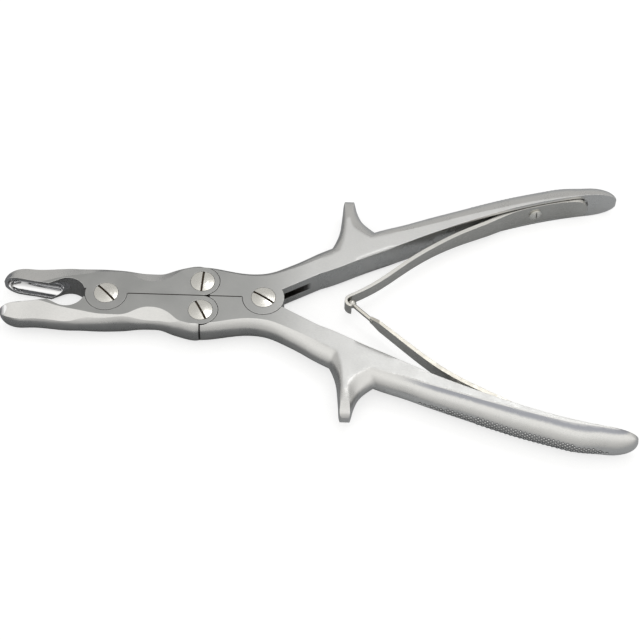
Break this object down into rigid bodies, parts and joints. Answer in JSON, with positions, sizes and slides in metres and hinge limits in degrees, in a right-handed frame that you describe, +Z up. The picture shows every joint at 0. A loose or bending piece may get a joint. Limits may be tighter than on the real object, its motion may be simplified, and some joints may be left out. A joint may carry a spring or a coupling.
{
  "type": "bone rongeur",
  "caption": "Double-action bone rongeur: cupped jaws in box joints, compound linkage, spurred knurled handles held open by leaf springs.",
  "frame": {"origin": "on the surface that the instrument lies on, under the middle of its footprint", "axes": "+X runs back from the jaws to the handle ends, +Y towards the upper handle, +Z up through the joint screws"},
  "size_m": [0.2264, 0.1164, 0.0128],
  "materials": {
    "satin_steel": "satin-ground stainless steel, knurled on the grips",
    "screw_steel": "turned and polished stainless steel",
    "spring_steel": "polished spring steel"
  },
  "bodies": {
    "lower_handle": {"lower_handle": "satin_steel", "lower_spring_screw": "screw_steel"},
    "upper_handle": {"upper_handle": "satin_steel", "rear_pivot_screw": "screw_steel", "upper_spring_screw": "screw_steel"},
    "lower_jaw": {"lower_jaw": "satin_steel", "lower_link_screw": "screw_steel"},
    "upper_jaw": {"upper_jaw": "satin_steel", "front_pivot_screw": "screw_steel", "upper_link_screw": "screw_steel"},
    "upper_spring": {"upper_spring": "spring_steel"},
    "lower_spring": {"lower_spring": "spring_steel"}
  },
  "joints": [
    {"name": "rear_pivot", "type": "hinge", "parent": "lower_handle", "child": "upper_handle", "pos_m": [-0.01835, 0, 0.0064], "axis": [0, 0, 1], "range_deg": [-29, 0], "stiffness_Nm_per_rad": 1},
    {"name": "lower_link", "type": "hinge", "parent": "lower_handle", "child": "lower_jaw", "pos_m": [-0.04069, -0.00637, 0.0064], "axis": [0, 0, 1], "range_deg": [-23.8, 0]},
    {"name": "front_pivot", "type": "hinge", "parent": "lower_jaw", "child": "upper_jaw", "pos_m": [-0.07515, 0, 0.0064], "axis": [0, 0, 1], "range_deg": [0, 18.4]},
    {"name": "upper_spring_flex", "type": "hinge", "parent": "upper_handle", "child": "upper_spring", "pos_m": [0.06965, 0.042, 0.0064], "axis": [0, 0, 1], "range_deg": [-9.1, 0], "deforming": ["upper_spring"]},
    {"name": "lower_spring_flex", "type": "hinge", "parent": "lower_handle", "child": "lower_spring", "pos_m": [0.06965, -0.042, 0.0064], "axis": [0, 0, 1], "range_deg": [0, 5.1], "deforming": ["lower_spring"]}
  ],
  "couplings": [
    {"joint": "lower_link", "follows": "rear_pivot", "ratio": 0.8167},
    {"joint": "front_pivot", "follows": "rear_pivot", "ratio": -0.6335},
    {"joint": "upper_spring_flex", "follows": "rear_pivot", "ratio": 0.3105},
    {"joint": "lower_spring_flex", "follows": "rear_pivot", "ratio": -0.1707}
  ]
}
